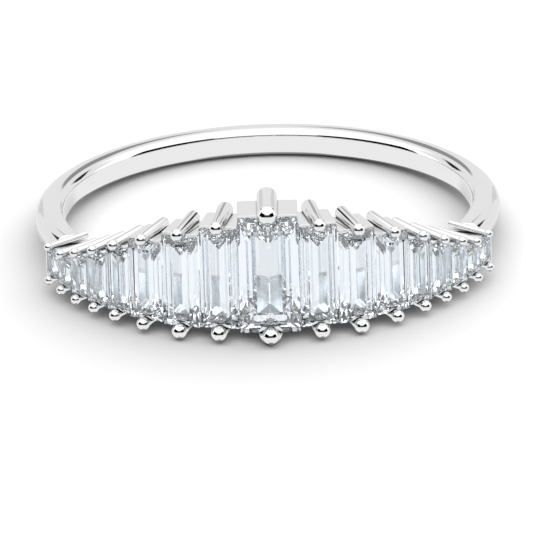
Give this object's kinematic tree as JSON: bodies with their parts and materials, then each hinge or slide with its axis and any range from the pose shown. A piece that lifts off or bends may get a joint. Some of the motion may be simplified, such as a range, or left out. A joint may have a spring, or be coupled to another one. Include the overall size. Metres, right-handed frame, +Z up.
{
  "type": "baguette diamond ring",
  "caption": "Finger ring with a tapering row of upright baguette-cut stones, tallest in the centre, each held by a prong at both ends of the stone.",
  "frame": {"origin": "middle of the ring's outline on the surface that it lies on", "axes": "+Z up, -Y towards the centre stone, +X to the right of the row seen from its front"},
  "size_m": [0.0196, 0.0212, 0.0062],
  "materials": {
    "white_gold": "polished white gold",
    "diamond": "clear polished facets"
  },
  "bodies": {
    "root": {"ring_mount": "white_gold", "centre_stone": "diamond", "stone_left_1": "diamond", "stone_left_2": "diamond", "stone_left_3": "diamond", "stone_left_4": "diamond", "stone_left_5": "diamond", "stone_left_6": "diamond", "stone_left_7": "diamond", "stone_left_8": "diamond", "stone_right_1": "diamond", "stone_right_2": "diamond", "stone_right_3": "diamond", "stone_right_4": "diamond", "stone_right_5": "diamond", "stone_right_6": "diamond", "stone_right_7": "diamond", "stone_right_8": "diamond"}
  },
  "joints": []
}
